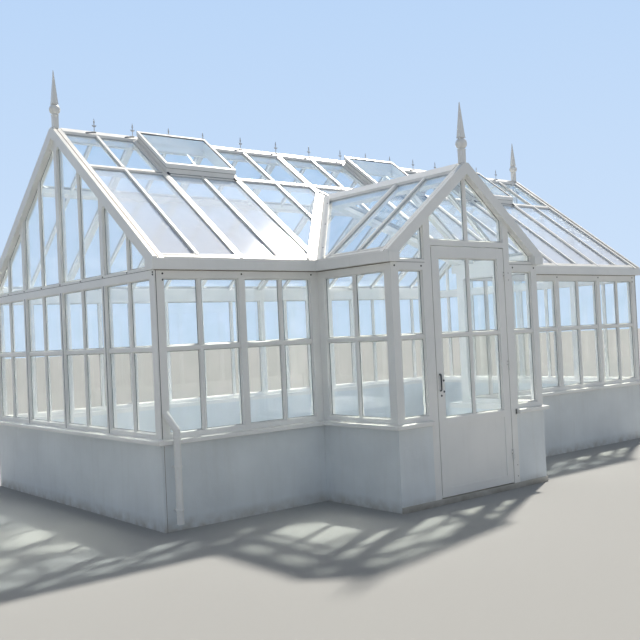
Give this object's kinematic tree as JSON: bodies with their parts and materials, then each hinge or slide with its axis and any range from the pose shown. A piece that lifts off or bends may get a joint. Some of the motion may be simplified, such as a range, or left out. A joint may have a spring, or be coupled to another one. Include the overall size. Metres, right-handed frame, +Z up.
{
  "type": "glass greenhouse",
  "caption": "White aluminium greenhouse on rendered dwarf walls, with an off-centre gabled porch whose glazed door swings outward, raised roof vents, ridge cresting and finials.",
  "frame": {"origin": "centre of the bounding box on the ground, under the dwarf walls", "axes": "+X along the ridge to the long side of the building right of the porch, -Y out of the porch door, +Z up"},
  "size_m": [6.58, 4.43, 3.8914],
  "materials": {
    "wall_render": "smooth painted cement render",
    "plinth_render": "smooth painted cement render, darker",
    "frame_powder_coat": "white powder coat on aluminium, satin",
    "wall_glass": "clear toughened glass",
    "roof_glass": "clear toughened roof glass",
    "roof_diffusing_glass": "milky diffusing toughened glass",
    "dark_powder_coat": "dark grey powder coat on cast aluminium"
  },
  "bodies": {
    "house": {"door_jambs": "frame_powder_coat", "downpipe": "frame_powder_coat", "frame_hinges": "dark_powder_coat", "front_and_rear_dwarf_walls": "wall_render", "front_and_rear_sills": "frame_powder_coat", "front_and_rear_wall_frames": "frame_powder_coat", "front_and_rear_wall_glass": "wall_glass", "gable_finials": "frame_powder_coat", "gable_glass": "wall_glass", "gable_left": "frame_powder_coat", "gable_right": "frame_powder_coat", "main_gutters": "frame_powder_coat", "main_rafters": "frame_powder_coat", "main_ridge": "frame_powder_coat", "main_roof_bars": "frame_powder_coat", "main_roof_rails": "frame_powder_coat", "porch_gable": "frame_powder_coat", "porch_gutters": "frame_powder_coat", "porch_plinth": "plinth_render", "porch_rafters": "frame_powder_coat", "porch_ridge": "frame_powder_coat", "porch_roof_bars": "frame_powder_coat", "porch_roof_glass": "roof_glass", "porch_roof_rails": "frame_powder_coat", "ridge_cresting": "dark_powder_coat", "roof_glass_lower": "roof_diffusing_glass", "roof_glass_upper": "roof_glass", "side_dwarf_walls": "wall_render", "side_sills": "frame_powder_coat", "side_wall_frames": "frame_powder_coat", "side_wall_glass": "wall_glass", "valley_left": "frame_powder_coat", "valley_right": "frame_powder_coat", "vent_glass": "roof_glass", "vent_kerbs": "frame_powder_coat", "vent_sashes": "frame_powder_coat"},
    "door": {"door_leaf": "frame_powder_coat", "door_panel": "frame_powder_coat", "door_glass": "wall_glass", "door_hinges": "dark_powder_coat", "door_handles": "dark_powder_coat"}
  },
  "joints": [
    {"name": "door_hinge", "type": "hinge", "parent": "house", "child": "door", "pos_m": [-0.326, -2.183, 1.068], "axis": [0, 0, 1], "range_deg": [0, 100]}
  ]
}
